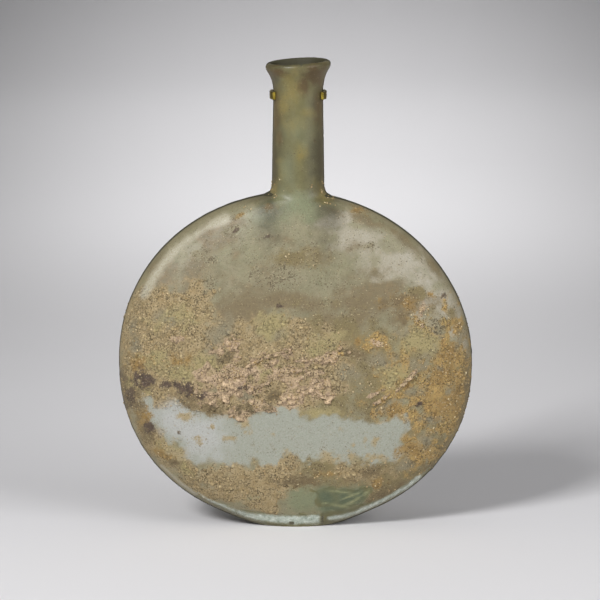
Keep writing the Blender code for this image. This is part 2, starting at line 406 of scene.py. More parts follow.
def outerSkin():
    # the right and left outline at the levels of the mesh
    right, left = sideOutline(1), sideOutline(-1)
    both = np.hstack([right, left])
    step = np.abs(np.diff((right + left) / 2, axis=0))
    both = evenly(both, np.hypot(0.45 * step[:, 0], step[:, 1]), bottleForm["levels"])
    return both[:, :2], both[:, 2:]


def bottleGrid():
    # rings from the middle of the base up the outside, over the lip and down the inside
    f = bottleForm
    angles = columnAngles()
    right, left = outerSkin()
    outer = levelRings(right, left, angles)
    normals = gridNormals(outer)
    walls = wallAt(outer[..., 2])
    foot = outer[0]
    centre = foot.mean(axis=0)
    base = np.stack([centre + (foot - centre) * share for share in (0.25, 0.5, 0.75, 0.92)])
    pick = np.unique(np.linspace(0, len(outer) - 1, f["innerLevels"]).round().astype(int))[::-1]
    inner = outer[pick] - normals[pick] * walls[pick][..., None]
    foot = inner[-1].copy()
    foot[:, 2] = foot[:, 2].mean()
    floor = np.stack([centre + (foot - centre) * share for share in (0.75, 0.5, 0.25)])
    floor[..., 2] = walls[0].mean()
    inner[-1, :, 2] = walls[0].mean()
    edge, inEdge = outer[-1], inner[0]
    lip = []
    for turn in np.linspace(0, math.pi, 11)[1:-1]:
        ring = (edge + inEdge) / 2 + (edge - inEdge) / 2 * math.cos(turn)
        ring[:, 2] += f["lipHeight"] * math.sin(turn)
        lip.append(ring)
    rings = np.concatenate([base, outer, np.stack(lip), inner, floor])
    kinds = np.repeat([0, 1, 2, 3, 4], [len(base), len(outer), len(lip), len(inner), len(floor)])
    return rings, kinds


def kind(colours, lumps, grain=0.5, edge=0.4, roughness=0.45, height=0, behind=0.1, **more):
    # one kind of weathering: two or three colours that its grain mixes, the size and strength of
    # the lumps that break its edge, a height in mm, and how far it is held back behind
    return dict(more, colours=colours, lumps=lumps, grain=grain, edge=edge, roughness=roughness,
                height=height, behind=behind)


# Weathering, painted in this order. It lies at places, inside outlines that fade over so many
# millimetres, or on lines of a half width. A kind that hides lies on "bareGlass" too and makes it
# opaque by that share, the others stay off it. Its specks go by grit, or else by its height
weathering = {
    "greenFilm": kind(
        ("#838767", "#70745a"), (9, 1.2), grain=0.2, roughness=0.4,
        places=[(-4, 178, 16, 8), (5, 18, 9, 7), (-26, 20, 9, 4, -20)],
    ),
    "silverHaze": kind(
        ("#aba596", "#908b77", "#9d9682"), (7, 1.7), grain=0.34, edge=0.36, roughness=0.42, height=0.02,
        behind=0.15,
        places=[
            (54, 146, 15, 8, -25), (68, 139, 10, 9, -40), (76, 127, 9, 11, -50), (84, 119, 7, 12, -60),
            (90, 103, 3, 8), (22, 170, 9, 3, 20), (66, 150, 7, 5), (30, 162, 16, 5), (84, 110, 4, 5),
            (68, 97, 3, 3),
        ],
    ),
    "brownFilm": kind(
        ("#75644a", "#8a7a58", "#6f6850"), (7, 1.6), grain=0.4, edge=0.42, height=0.05, behind=0,
        places=[
            (-33, 169, 5, 3, 15), (-46.5, 158, 4, 8, -15), (-53, 144, 9, 8), (-71, 140, 8, 6, 30),
            (-32, 151, 4, 5), (-18, 140, 8, 5), (-25, 134, 10, 4), (42, 141.5, 8, 3.4),
            (20, 176, 5, 2, -20), (66, 129, 9, 3.4, -20), (12, 152, 6, 4), (-62, 128, 9, 4),
            (36, 172, 9, 2, -25), (58, 160, 9, 2, -40), (74, 146, 7, 1.8, -55), (34, 157, 4, 2.4),
            (-6, 160, 5, 2.6), (48, 134, 14, 4, 5), (-48, 164, 10, 3, 30), (-40, 160, 9, 6, 30),
            (-66, 146, 7, 4, 45),
        ],
    ),
    "brownStreak": kind(
        ("#6b5f47", "#7f7152"), (8, 1.3), grain=0.34, edge=0.34, roughness=0.62, height=0.03,
        places=[
            (-12, 127, 22, 4.2, 3), (30, 126, 30, 5), (60, 124, 10, 4.4, 5), (-30, 122, 13, 9.5),
            (26, 116, 16, 5), (56, 117, 6, 4),
        ],
    ),
    "oliveGrit": kind(
        ("#8c7e55", "#6c6245", "#766a4b"), (6, 1.4), edge=0.3, roughness=0.8, height=0.1,
        places=[
            (28, 96, 40, 20), (66, 131, 4.5, 3), (10, 112, 20, 6), (52, 28, 24, 12, 30), (20, 32, 24, 8),
            (0, 150, 14, 5), (44, 82, 26, 16), (30, 72, 24, 8), (66, 58, 16, 9), (78, 82, 14, 30),
        ],
    ),
    "tanGrit": kind(
        ("#baa781", "#84775a", "#8d7a55"), (6, 1.5), edge=0.26, roughness=0.88, height=0.12, behind=0,
        fade=9,
        outlines=[[
            (-98, 133), (-81, 136), (-73, 135), (-63, 134), (-56, 136), (-51, 136), (-44, 131),
            (-43, 121), (-38, 117), (-27, 115), (-18, 119), (-6, 121), (3, 117), (22, 109), (30, 100),
            (28, 84), (18, 70), (-30, 60), (-98, 66),
        ], [
            (-97, 64), (-80, 58), (-62, 46), (-50, 40), (-25, 38), (-3, 42), (5, 38), (2, 28), (-8, 20),
            (-12, 11), (-30, 13), (-52, 22), (-72, 36), (-88, 52),
        ], [
            (24, 40), (45, 37), (58, 42), (66, 52), (74, 52), (62, 36), (44, 26), (22, 30),
        ]],
    ),
    "ochre": kind(
        ("#cba866", "#826441", "#988453"), (4.2, 2.1), grain=0.6, edge=0.26, roughness=0.85, height=0.12,
        places=[
            (80, 100, 11, 16), (72, 78, 14, 17, -20), (58, 66, 14, 6.5, 10), (82, 64, 8, 13, -25),
            (66, 115, 5, 6), (54, 90, 9, 12), (66, 44, 9, 9, -30), (46, 104, 8, 5), (92, 88, 5, 24, 4),
            (87, 62, 6, 10, -22), (76, 44, 6, 9, -40),
        ],
    ),
    "greyFilm": kind(
        ("#8a8268", "#776d55"), (5, 1.5), roughness=0.6, height=0.05, behind=0.3,
        places=[
            (-41, 106, 6, 4), (-38, 112, 5, 6), (-45, 97, 4, 3), (-70, 118, 5, 3), (-26, 75, 4, 3),
            (-40, 78, 5, 3), (46, 94, 6, 5), (30, 88, 5, 4), (63, 78, 4, 3), (50, 70, 7, 2, 30),
            (-86, 104, 3, 9), (-15, 110, 6, 3), (73, 101, 3, 5), (64, 91, 4, 3.6), (84, 78, 2.4, 4),
            (72, 62, 5, 2), (71, 50, 3, 4), (88, 105, 2.4, 5), (78, 88, 2.6, 3), (60, 108, 5, 4),
            (58, 36, 5, 3, 30),
        ],
    ),
    "yellowFilm": kind(
        ("#a09367", "#8c8158"), (5, 1.6), roughness=0.7, height=0.06, behind=0.3,
        places=[
            (-60, 90, 14, 5), (-50, 94, 8, 5), (-64, 118, 10, 5, 20), (-20, 88, 8, 3), (-12, 112, 7, 6),
            (14, 104, 9, 5), (54, 84, 8, 6), (-84, 80, 6, 4), (66, 104, 8, 6), (16, 66, 9, 3),
            (-76, 96, 8, 4), (-68, 43, 9, 4.6, -42),
        ],
    ),
    "paleBand": kind(
        ("#9fa095", "#8f9384"), (3.6, 0.75), grain=0.3, edge=0.14, roughness=0.36, height=-0.05,
        behind=0.05, fade=7,
        outlines=[[
            (-85, 72), (-81, 74), (-77, 73), (-76, 70), (-67, 70), (-62, 72), (-58, 71), (-54, 67),
            (-47, 64), (-35, 62.5), (-25, 63.6), (-19, 66), (-16, 69.5), (-8, 71), (1, 67), (3, 64),
            (8, 61), (12.5, 64), (18, 66), (28, 63), (39, 61), (42.5, 60), (48, 63), (59, 64), (62, 57),
            (58.5, 54), (56, 51), (57.5, 42), (55, 41), (48, 39), (41, 37), (35.5, 40), (32, 42),
            (29, 40), (22, 39), (17, 43.5), (13, 39), (4.5, 40), (-3, 44), (-6, 43.5), (-10.5, 37.5),
            (-17, 37), (-23, 40), (-26, 37.5), (-36, 36), (-45, 39), (-54, 36), (-57, 41), (-61, 45),
            (-63, 48), (-69, 50), (-74, 57), (-77, 59), (-80, 63), (-83, 67),
        ]],
    ),
    "blueHaze": kind(
        ("#b2b2ae", "#a0a29c"), (8, 1), grain=0.1, edge=0.34, roughness=0.36, height=-0.02, behind=0.2,
        places=[(-66, 62, 10, 8, -40), (-50, 54, 14, 9, -20)],
    ),
    "tanSpots": kind(
        ("#a69674", "#938664"), (3, 1.6), grain=0.8, edge=0.34, roughness=0.8, height=0.06, behind=0.4,
        places=[
            (-52, 51, 2, 2.2), (-36, 52, 2.6, 1.5), (-27, 60, 3, 3.4), (-44.5, 58, 1.5, 1),
            (37.5, 51, 1.1, 3), (43, 48, 1.7, 3.4), (31, 48, 1, 1.6), (-12, 54, 1.3, 1), (24, 57, 1, 0.9),
            (17, 41, 4, 3), (-67, 40, 6, 6), (30, 42, 4, 2), (44, 41, 5, 2), (-60, 64, 4, 1.6),
        ],
    ),
    "rust": kind(
        ("#907540", "#6a5233", "#9f8452"), (3, 1.8), grain=1, roughness=0.85, height=0.1, behind=0.25,
        places=[
            (83, 98, 5, 4, 20), (82.5, 88.5, 4, 4), (51, 67.5, 4.2, 3.6), (33.5, 105, 2, 2.6),
            (58, 126, 7, 3.4), (80, 70, 8, 5), (75, 66, 5, 3), (-82, 62, 3.4, 6, 20),
            (-72, 43, 5, 2.4, -40), (-29.5, 174, 2.2, 1.6), (-13.5, 178, 3, 1.6), (34, 176, 4, 2, -20),
            (88, 74, 3, 12), (-86, 92, 5, 4), (-62, 94, 5, 3), (86, 113, 2, 3), (73.5, 130.5, 1.6, 1.8),
            (60, 81, 5, 2.4, 10), (76, 84, 4, 5), (62, 46, 6, 4), (19, 32, 4, 1.6), (44, 26, 5, 2, 30),
            (-22, 92, 4, 2.4),
        ],
    ),
    "pinkCrust": kind(
        ("#d2b79d", "#a28d6f", "#aa9474"), (3.4, 2.2), edge=0.24, roughness=0.92, height=0.12, behind=0.3,
        places=[
            (-33, 82.5, 15, 9, 10), (-11.5, 93, 8, 2.8, 28), (-8, 87, 11, 3.2, 26),
            (10, 93.5, 11, 2.4, 18), (9, 80, 8, 6.6), (-28, 65.5, 7, 2.4), (-3, 73, 5.5, 3.4),
            (-38, 102, 6, 4), (-66, 106, 4, 1.4), (-50, 86, 4, 3.2), (-16, 68, 4, 2),
            (67.5, 118.5, 2.4, 5), (43, 76.5, 4, 0.7, 25), (44, 104, 3, 1.4), (60, 84, 5, 0.9, 45),
        ],
    ),
    # painted highlight along the upper left shoulder, and a painted reflection as a pale line along the
    # lower left outline
    "paintedSheenLines": kind(
        ("#b9b4a2", "#9d967c"), (6, 0.9), grain=0.16, edge=0.5, roughness=0.36, behind=0.3,
        lines=[
            ([
                (-82, 129.5), (-77.9, 136.9), (-72.5, 145.6), (-66.7, 153.2), (-60.8, 158.1),
                (-54.4, 162.9), (-44.7, 168.9), (-38, 172.2),
            ], 2.1),
            ([(-73, 36), (-63, 26.8), (-54, 20.4)], 0.8),
        ],
    ),
    "pocks": kind(
        ("#8d8568", "#7d755a"), (3, 1.4), grit=1.5, grain=0.6, roughness=0.5, height=0.04, behind=0.2,
        places=[
            (-33.5, 166, 4, 1.6, 20), (-18, 162.5, 3.6, 1.6, 20), (-52, 152, 3, 3), (-46, 142, 3, 8),
            (-10, 140, 9, 5), (40, 157, 3, 2), (66, 152, 3, 2.4), (76, 113, 4, 5),
        ],
    ),
    "umber": kind(
        ("#6f6043", "#594a33", "#7b6c4d"), (3.4, 1.8), grain=1.2, edge=0.42, roughness=0.75, height=0.1,
        behind=0.2,
        places=[
            (-58, 72, 4.6, 4), (-46, 68, 7, 2.6), (-25, 68.5, 8, 2.2), (-12, 76, 3, 3),
            (-86, 72, 3, 8, 15), (-80, 55, 3, 5, 35), (-66, 38, 4, 2, -30), (93, 80, 1.8, 12),
            (90, 64, 1.8, 9, -15), (40, 33, 8, 2.6, 15), (3, 28, 8, 2.4), (50, 22, 8, 3, 30),
            (57, 119, 4, 5), (56, 127, 8, 2.4), (82, 46, 3, 7, -35), (33, 98, 5, 3), (-38, 96, 5, 2, 20),
            (92.5, 112, 1.6, 4), (72, 32, 6, 3, 45), (-92, 84, 2, 5),
        ],
    ),
    "darkSpots": kind(
        ("#4c3d36", "#31251e", "#5f4e3d"), (2.4, 1.7), grain=1.1, edge=0.32, roughness=0.65, height=0.1,
        behind=0.2,
        places=[
            (-81.5, 84, 5, 4.6), (-70, 81.5, 2.6, 3), (-60.5, 79, 4.2, 3.2), (-94, 86, 2.6, 3),
            (-79, 57.5, 1.8, 3, 20), (-90, 74, 3, 5), (66.5, 70.5, 1.6, 1.2), (-63, 54.5, 0.9, 0.9),
            (-32, 165.5, 2, 1, 25), (-15, 162, 1.6, 0.9, 20), (-8, 124, 1.6, 0.8), (-29, 80, 2.2, 1.4),
            (79.5, 130, 1.3, 1.3), (-50, 75, 2.4, 2),
        ],
    ),
    # clear glass along the bottom edge, with its pale near-white lines a painted reflection along the
    # lower edges
    "clearEdgeAndReflection": kind(
        ("#b3c2b3", "#64756a", "#e6efe5"), (3, 0.4), grain=0.6, edge=0.34, roughness=0.2, behind=0.3,
        hides=0.9, fade=1.6,
        lines=[
            ([
                (18.4, 7), (26.7, 8), (31.5, 9.4), (38, 12.3), (44.8, 15.4), (53.9, 20.4), (61.9, 25.2),
                (67.5, 30.2),
            ], 1.15),
        ],
        outlines=[[
            (-54, 21.8), (-43, 15.6), (-33.5, 12), (-24.4, 9.6), (-16.4, 8.9), (-5.7, 8.2), (2.4, 8.2),
            (12.5, 8.8), (13.2, 8), (13.2, 4.4), (2.4, 4), (-8.3, 4.3), (-18, 5.3), (-27.1, 7.6),
            (-37.8, 12.2), (-48.5, 17.8),
        ]],
    ),
    "windowGlass": kind(
        ("#6a7458", "#5b664d"), (5, 0.8), grain=0.1, edge=0.42, roughness=0.28, behind=0.3, hides=0.5,
        places=[(18, 18.6, 7, 5, -10), (29, 18.6, 9, 4.4, 15), (20, 12.5, 9, 2.4)],
    ),
    "windowStreak": kind(
        ("#8f9068", "#7c8160"), (2.6, 0.9), grain=0.3, edge=0.42, roughness=0.5, height=0.03, behind=0.3,
        hides=0.8,
        places=[
            (32, 17, 5.5, 0.9, 28), (24, 22, 7, 0.6, -8), (16, 15.6, 2, 0.6), (24, 14, 5, 0.7, -10),
            (38, 21, 3, 0.8, 40), (30, 19.6, 5, 0.5, 20),
        ],
    ),
    # painted shade down both sides of the neck, on the sides of the flare and along the near lip
    "neckPaintedShade": kind(
        ("#39361f", "#33301c"), (8, 0.5), grain=0.1, edge=0.45, behind=0, hides=0.85,
        places=[
            (-13.5, 205, 7, 36), (16, 205, 8, 38), (18, 247, 6, 10, -20), (-14, 248, 5, 9, 20),
            (15.5, 232, 6, 14), (0, 254.4, 22, 1.7, 2),
        ],
    ),
    "neckBrown": kind(
        ("#5d4724", "#534728"), (5, 1.1), grain=0.3, height=0.02, hides=0.7,
        places=[
            (11, 248.5, 7, 6), (13.5, 232.5, 3, 6), (-10.5, 228, 2.6, 9), (-8, 250, 5, 3), (4, 243, 4, 4),
            (10.5, 213.8, 0.9, 0.9), (-9, 216, 2, 4),
        ],
    ),
    "neckTan": kind(
        ("#857641", "#726a3c"), (5, 1.1), grain=0.35, edge=0.45, roughness=0.5, height=0.03, hides=0.8,
        places=[
            (-6, 231, 3, 5), (-2, 241, 5, 8), (0, 221, 4, 5), (6, 229, 3.6, 2.2),
            (-12.5, 188, 3.5, 4, 30), (15, 186, 5, 4, -30), (3, 207, 3, 5), (-6, 196, 3, 6),
        ],
    ),
    # a dull haze on the neck, with a painted sheen as a pale streak down its left side and a patch at its
    # root
    "neckHazeAndSheen": kind(
        ("#7c7b59", "#6e6f50"), (7, 0.8), grain=0.2, edge=0.45, hides=0.4,
        places=[(1, 217, 6, 7), (-8, 183, 3.4, 6), (-4, 200, 4, 10)],
    ),
    "lipLight": kind(
        ("#5f5a38", "#474329"), (2.4, 0.9), edge=0.35, roughness=0.7, behind=1, hides=0.8,
        places=[(-8, 253.2, 9, 0.6, 5), (6, 254.4, 8, 0.6, 1)],
    ),
    "chips": kind(
        ("#33382a", "#3d3c29"), (1.6, 1), grain=0.2, edge=0.16, roughness=0.3, height=-0.1, behind=1,
        hides=1,
        places=[
            (-2.4, 4.4, 1.6, 0.9), (14.6, 6, 0.7, 2.6), (3.2, 254.2, 0.9, 0.8), (10.8, 213.8, 0.6, 0.6),
            (15.2, 213.8, 0.7, 0.7),
        ],
    ),
}
# Where the weathering has come off and the glass shows. The dark rim round the outline, dark glass with
# painted shade on it, has that half thickness and fade, and follows a seam that leans back from the
# middle to the lip. The far lip takes that share of its painted shade
bareGlass = {
    "lumps": (4, 0.8), "fade": 3, "neckFrom": 182, "neckFade": 30, "mask": (0.45, 0.6),
    "rimHalf": 4.6, "rimFade": 20, "rimLean": 0.02, "rimMiddle": 93, "farLip": 0.7,
    "outlines": [[
        (-53.8, 19.2), (-33.5, 12.2), (-19, 9.4), (-1.4, 8.8), (13, 8.4), (18.4, 11), (30, 12.4),
        (45.2, 17), (72.4, 34), (76, 31.5), (54, 15), (24, 0), (-3, -3), (-38, 2), (-60, 13),
    ], [
        (6.1, 23.9), (10.4, 20.1), (10.9, 15.2), (16.3, 12), (26.4, 13), (37.1, 16.9), (41.9, 21.8),
        (40.9, 24.5), (26.4, 23.9),
    ]],
}
# Thin raised lines in the crust, as places along them
ridges = [
    [(-18, 80.9), (-10, 85.3), (-5.1, 88), (2.4, 89.1), (5.6, 90.2)],
    [(42, 70.5), (46.5, 72.8), (50, 76.2)],
    [(54, 78), (58.5, 82), (64, 87.5)],
    [(-26, 91), (-17, 96), (-7, 98.5)],
    [(16, 93), (20, 97), (29, 99)],
]
maskEdge = (0.42, 0.62)  # the field's values where a kind begins and where it is full
# The blown skin's waves, and how far it is sunk to leave room for the relief, more on the faces
waves = {"height": 0.35, "size": 34, "sunk": 0.1, "sunkFaces": 0.4}


def lineDistance(line, x, z):
    # how far each place is from a line through several places
    nearest = np.full(len(x), np.inf)
    for (ax, az), (bx, bz) in zip(line, line[1:]):
        along = ((x - ax) * (bx - ax) + (z - az) * (bz - az)) / ((bx - ax) ** 2 + (bz - az) ** 2)
        along = np.clip(along, 0, 1)
        away = np.hypot(x - ax - along * (bx - ax), z - az - along * (bz - az))
        nearest = np.minimum(nearest, away)
    return nearest


def signedDistance(outline, x, z):
    # how far inside a closed outline each place is, below zero outside it
    inside = np.zeros(len(x), bool)
    closed = [*outline, outline[0]]
    for (ax, az), (bx, bz) in zip(closed, closed[1:]):
        if az != bz:
            inside ^= ((az > z) != (bz > z)) & (x < ax + (z - az) * (bx - ax) / (bz - az))
    return np.where(inside, 1, -1) * lineDistance(closed, x, z)


def patchField(patch, x, z, points, seed):
    # 0.5 on a patch's ragged edge, higher inside
    value = np.full(len(x), -1.0)
    for atX, atZ, halfX, halfZ, *turn in patch.get("places", ()):
        c, s = math.cos(math.radians(sum(turn))), math.sin(math.radians(sum(turn)))
        across, up = x - atX, z - atZ
        away = np.hypot((across * c + up * s) / halfX, (up * c - across * s) / halfZ)
        value = np.maximum(value, 1 - 0.5 * away)
    for outline in patch.get("outlines", ()):
        value = np.maximum(value, 0.5 + signedDistance(outline, x, z) / (2 * patch["fade"]))
    for line, half in patch.get("lines", ()):
        value = np.maximum(value, 1 - 0.5 * lineDistance(line, x, z) / half)
    size, amount = patch["lumps"]
    return np.clip(value + amount * (cloud(points, size, seed, 4) - 0.5), 0, 1)


def seenPlace(points):
    # places on the front as the camera sees them, and the same mirrored on the back
    front = points[:, 1] < 0
    rise = math.tan(math.radians(view["elevation"])) * (points[:, 1] + bodyDepth / 2)
    x = np.where(front, points[:, 0], -points[:, 0])
    return x, points[:, 2] + np.where(front, rise, 0), front


def weatherFields(points):
    # every kind of weathering at points on the outer skin, the back plainer than the front
    x, z, front = seenPlace(points)
    bare = patchField(bareGlass, x, z, points, 200)
    fields = {}
    for seed, (name, patch) in enumerate(weathering.items()):
        field = patchField(patch, x, z, points, 10 * seed) - np.where(front, 0, patch["behind"])
        fields[name] = field if "hides" in patch else field - smoothStep(*bareGlass["mask"], bare)
    neck = 0.5 + (points[:, 2] - bareGlass["neckFrom"]) / (2 * bareGlass["neckFade"])
    fields["bareGlass"] = np.maximum(bare, np.clip(neck, 0, 1))
    middle = bareGlass["rimMiddle"]
    outline = points[:, 1] - bareGlass["rimLean"] * np.clip(points[:, 2] - middle, -middle, middle)
    fields["rim"] = np.clip(0.5 + (bareGlass["rimHalf"] - np.abs(outline)) / bareGlass["rimFade"], 0, 1)
    fields["crumbs"] = crumbField(points, fields)
    # the skin itself gets neither painted shade nor painted light from the grains
    fields["grainToneAndShade"] = np.full(len(points), 0.5)
    return fields


def relief(points, fields):
    # height of the crust and of the blown skin's waves, in millimetres
    height = waves["height"] * (cloud(points, waves["size"], 300, 2) - 0.5)
    for seed, (name, patch) in enumerate(weathering.items()):
        mask = smoothStep(*maskEdge, fields[name])
        lumps = 0.45 + 1.1 * cloud(points, 2.4, 400 + seed, 2)
        height = height + patch["height"] * mask * lumps
    return height


# The skin's finish: the film and the glass under it, the dark rim with its painted shade, and the specks
# of grit
glassLook = {
    "film": ("#978e74", "#6d6a51", "#8c8a6a"),
    "filmStart": -0.08,
    "filmMix": (("medium", 0, 0.4), ("grain", 1, 0.34), ("broad", 0, 0.5)),  # noise, channel, share
    "filmRoughness": 0.42,
    "glass": "#8b8552", "glassRoughness": 0.32,
    "bareRagged": 0.2, "bareEdge": (0.5, 0.7), "bareTransmission": 0.46, "bareSmooth": 0.2,
    "bareStain": 0.78,  # the share of the glass's own colour where it is bare
    "grit": (0.34, 0.04),  # on the film and on bare glass
    "clumps": (0.55, 1.45), "speckStart": 0.93, "speckEdge": 0.14,
    "specks": (("#4c3f29", 0.52, 0.78), ("#c3b591", 0.28, 0.5)),  # colour, share, strength
    # a browner tint towards the outline, part stain and part painted shade; dark glass with painted shade
    # at the outline and inside the mouth
    "edgeTintAndShade": "#83775a", "edgeTintRange": (0.02, 0.4), "edgeTintShare": 0.36,
    "rimGlass": "#3d3a24", "rimEdge": (0.43, 0.56), "rimRoughness": 0.7, "rimTransmission": 0.25,
    "sizes": {"grain": (0.8, 2), "medium": (3, 4), "broad": (12, 4), "speck": (0.8, 1)},
    "spread": (0.28, 0.72),  # the values of the noise that become 0 and 1
    "bumpHeights": (0.06, 0.28),  # how far the film's grain and the crust's grain stand up
    # painted shade in the hollows and painted light on the grains' tops
    "grainToneAndShade": (0.46, 1.5),  # how bright the hollows and the tops of the grains are
    "ior": 1.5,
}


def weatheredGlass():
    # blown green glass under a dull skin: the eye sees soft olive film with matt crust on it
    look = glassLook
    material, shader, add = newMaterial("weathered blown glass")
    place = add("TexCoord").outputs["Object"]
    low, high = look["spread"]
    noises = {}
    for name, (size, detail) in look["sizes"].items():
        noise = add("TexNoise",
                    {"Vector": place, "Scale": 1 / (size * mm), "Detail": detail, "Roughness": 0.6})
        split = add("SeparateColor", {"Color": noise.outputs["Color"]})
        noises[name] = [add("MapRange", {0: part, 1: low, 2: high}) for part in split.outputs]
    mixed = look["filmStart"]
    for name, channel, share in look["filmMix"]:
        mixed = add("Math", {0: noises[name][channel], 1: share, 2: mixed},
                    operation="MULTIPLY_ADD", use_clamp=name == "broad")
    warm, dark, cool = (toLinear(c) for c in look["film"])
    colour = add("Mix", {0: mixed, 6: warm, 7: dark}, data_type="RGBA")
    cooler = add("Math", {0: noises["broad"][1], 1: noises["medium"][2]}, operation="MULTIPLY")
    colour = add("Mix", {0: cooler, 6: colour, 7: cool}, data_type="RGBA")
    bare = add("Attribute", attribute_name="bareGlass").outputs["Fac"]
    bare = add("Math", {0: noises["medium"][1], 1: look["bareRagged"], 2: bare}, operation="MULTIPLY_ADD")
    low, high = look["bareEdge"]
    bare = add("MapRange", {0: bare, 1: low, 2: high}, interpolation_type="SMOOTHSTEP")
    tinted = add("Math", {0: bare, 1: look["bareTransmission"]}, operation="MULTIPLY")
    stained = add("Math", {0: bare, 1: look["bareStain"]}, operation="MULTIPLY")
    colour = add("Mix", {0: stained, 6: colour, 7: toLinear(look["glass"])}, data_type="RGBA")
    roughness = add("Mix", {0: bare, 2: look["filmRoughness"], 3: look["glassRoughness"]})
    onFilm, onBare = look["grit"]
    gritty = add("MapRange", {0: bare, 3: onFilm, 4: onBare})
    for order, (name, patch) in enumerate(weathering.items()):
        mask = add("Attribute", attribute_name=name).outputs["Fac"]
        for source in ("grain", "medium"):
            mask = add("Math", {0: noises[source][order % 3], 1: 0.5 * patch["grain"], 2: mask},
                       operation="MULTIPLY_ADD")
        middle = 0.5 + 0.5 * patch["grain"]
        mask = add("MapRange", {0: mask, 1: middle - patch["edge"], 2: middle + patch["edge"]},
                   interpolation_type="SMOOTHSTEP")
        own, *others = (toLinear(c) for c in patch["colours"])
        for source, other in zip(("grain", "medium"), others):
            own = add("Mix", {0: noises[source][(order + 1) % 3], 6: own, 7: other}, data_type="RGBA")
        grit = patch.get("grit", max(0, patch["height"]) * 8)
        colour = add("Mix", {0: mask, 6: colour, 7: own}, data_type="RGBA")
        roughness = add("Mix", {0: mask, 2: roughness, 3: patch["roughness"]})
        gritty = add("Mix", {0: mask, 2: gritty, 3: grit})
        hides = add("MapRange", {0: mask, 3: 1, 4: 1 - patch.get("hides", 1)})
        tinted = add("Math", {0: tinted, 1: hides}, operation="MULTIPLY")
    low, high = look["clumps"]
    clumps = add("Math", {0: noises["medium"][2], 1: noises["broad"][2]}, operation="ADD")
    clumps = add("MapRange", {0: clumps, 1: low, 2: high})
    gritty = add("Math", {0: clumps, 1: gritty}, operation="MULTIPLY", use_clamp=True)
    for channel, (speck, share, strength) in zip(noises["speck"], look["specks"]):
        start = add("MapRange", {0: gritty, 3: look["speckStart"], 4: 1 - share})
        here = add("Math", {0: channel, 1: start}, operation="SUBTRACT")
        here = add("MapRange", {0: here, 2: look["speckEdge"], 4: strength})
        colour = add("Mix", {0: here, 6: colour, 7: toLinear(speck)}, data_type="RGBA")
    # painted shade: browner towards the outline, part stain, then dark glass at it, and dark inside the
    # mouth
    rimField = add("Attribute", attribute_name="rim").outputs["Fac"]
    low, high = look["edgeTintRange"]
    tint = add("MapRange", {0: rimField, 1: low, 2: high, 4: look["edgeTintShare"]})
    colour = add("Mix", {0: tint, 6: colour, 7: toLinear(look["edgeTintAndShade"])}, data_type="RGBA")
    low, high = look["rimEdge"]
    rim = add("MapRange", {0: rimField, 1: low, 2: high}, interpolation_type="SMOOTHSTEP")
    colour = add("Mix", {0: rim, 6: colour, 7: toLinear(look["rimGlass"])}, data_type="RGBA")
    roughness = add("Mix", {0: rim, 2: roughness, 3: look["rimRoughness"]})
    clear = add("MapRange", {0: rim, 3: 1, 4: look["rimTransmission"]})
    tinted = add("Math", {0: tinted, 1: clear}, operation="MULTIPLY")
    # painted shade in the crust's hollows and painted light on its grains' tops
    hollow, top = look["grainToneAndShade"]
    grainToneAndShade = add("Attribute", attribute_name="grainToneAndShade").outputs["Fac"]
    grainToneAndShade = add("MapRange", {0: grainToneAndShade, 3: hollow, 4: top})
    colour = add("HueSaturation", {"Value": grainToneAndShade, "Color": colour})
    fine, coarse = look["bumpHeights"]
    stand = add("MapRange", {0: gritty, 3: fine, 4: coarse})
    smooth = add("MapRange", {0: bare, 3: 1, 4: look["bareSmooth"]})
    stand = add("Math", {0: stand, 1: smooth}, operation="MULTIPLY")
    height = add("Math", {0: stand, 1: noises["grain"][0]}, operation="MULTIPLY")
    bump = add("Bump", {"Strength": 1, "Distance": mm, "Height": height})
    plug(shader, {"Base Color": colour, "Roughness": roughness, "Transmission Weight": tinted,
                  "Normal": bump, "IOR": look["ior"]})
    return material


def makeBottle(material):
    rings, kinds = bottleGrid()
    levels, columns = rings.shape[:2]
    points = rings.reshape(-1, 3)
    ringNormals = gridNormals(rings)
    normals = ringNormals.reshape(-1, 3)
    outside = np.repeat(kinds <= 2, columns)
    fields = weatherFields(points)
    proud = relief(points, fields) - waves["sunk"] - waves["sunkFaces"] * np.abs(normals[:, 1])
    skin = smoothStep(0, 6, points[:, 2]) * np.where(np.repeat(kinds == 1, columns), 1, 0)
    placed = points + normals * (proud * skin)[:, None]
    placed = np.clip(placed, np.array(boxLow) / mm, np.array(boxHigh) / mm)
    ends = placed[:columns].mean(axis=0), placed[-columns:].mean(axis=0)
    faces = []
    for level in range(levels - 1):
        for column in range(columns):
            after = (column + 1) % columns
            a, b = level * columns + column, level * columns + after
            faces.append((a, b, b + columns, a + columns))
    last = (levels - 1) * columns
    for column in range(columns):
        after = (column + 1) % columns
        faces.append((levels * columns, after, column))
        faces.append((levels * columns + 1, last + column, last + after))
    vertices = np.vstack([placed, *ends]) * mm
    bottle = newPiece("bottle_glass", vertices, faces, material)
    # painted shade: the far lip takes part of the dark rim colour and the inside surfaces all of it
    farLip = np.repeat(kinds == 2, columns) & (points[:, 1] > 1)
    fields["rim"] = np.where(farLip, bareGlass["farLip"], np.where(outside, fields["rim"], 1))
    for name, field in fields.items():
        shown = field if name in ("bareGlass", "rim", "grainToneAndShade") else np.where(outside, field, 0)
        fields[name] = np.append(shown, (0, 0))
    addFields(bottle, fields)
    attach(bottle, "root")
    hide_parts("bottle")
    print("bottle:", len(faces), "faces")
    outer = kinds == 1
    return bottle, (rings[outer], placed.reshape(rings.shape)[outer], ringNormals[outer])


